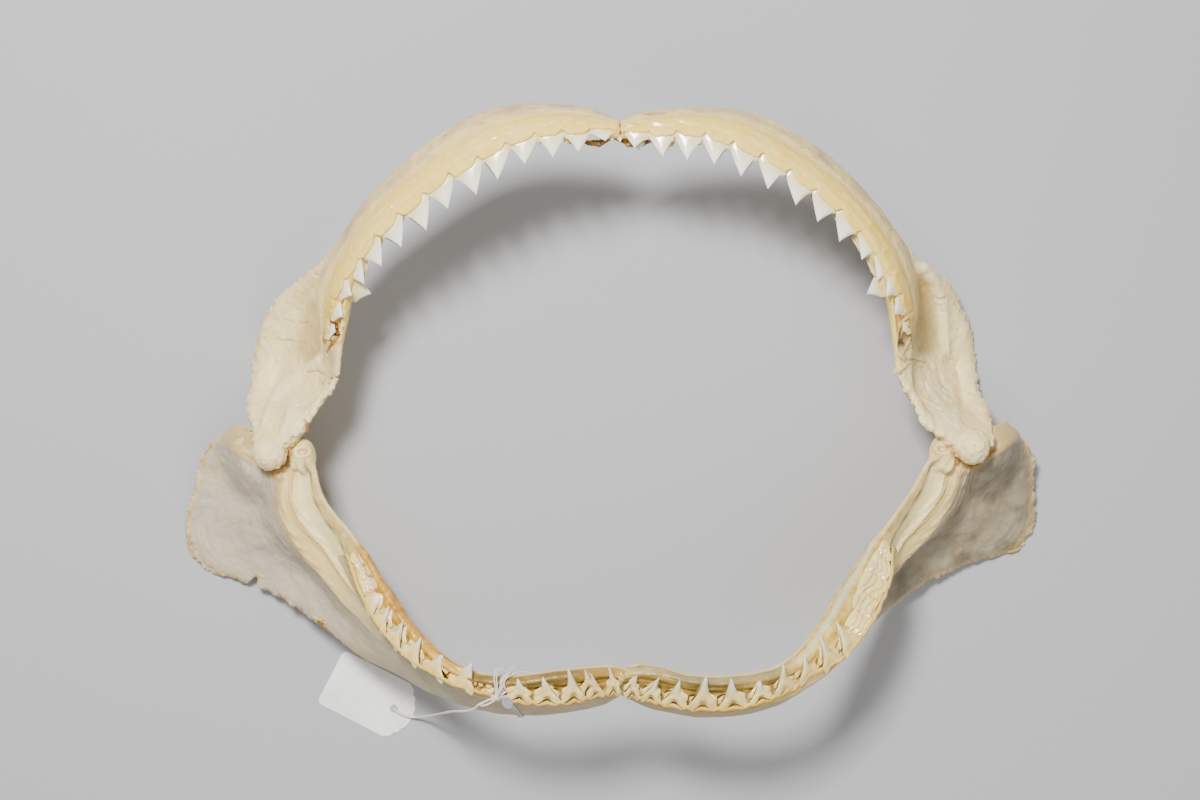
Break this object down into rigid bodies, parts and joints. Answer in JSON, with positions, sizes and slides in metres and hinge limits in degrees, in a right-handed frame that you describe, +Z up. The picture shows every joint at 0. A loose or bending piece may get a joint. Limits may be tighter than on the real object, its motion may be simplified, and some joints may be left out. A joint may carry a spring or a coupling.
{
  "type": "shark jaw",
  "caption": "Dried requiem shark jaw laid open on its back, both tooth-bearing arches spread wide, with a blank card tag tied to the lower arch.",
  "frame": {"origin": "centre of the base: on the floor, in the middle of the jaw's length and width without its tag", "axes": "+X from the animal's right jaw joint to its left one, along the longest extent; +Y from the lower jaw to the upper jaw; +Z up, out of the open mouth"},
  "size_m": [0.4533, 0.3291, 0.1121],
  "materials": {
    "cartilage": "dry satin, cream",
    "ligament": "dried tissue, amber brown",
    "card": "white card",
    "string": "twisted cotton",
    "seal": "grey, slightly glossy"
  },
  "bodies": {
    "root": {"upper_right": "cartilage", "upper_left": "cartilage", "lower_right": "cartilage", "lower_left": "cartilage", "joint_ligament_right": "ligament", "joint_ligament_left": "ligament", "upper_symphysis": "ligament", "lower_symphysis": "ligament", "tag": "card", "string_loop": "string", "tag_string": "string", "tag_seal": "seal"}
  },
  "joints": []
}
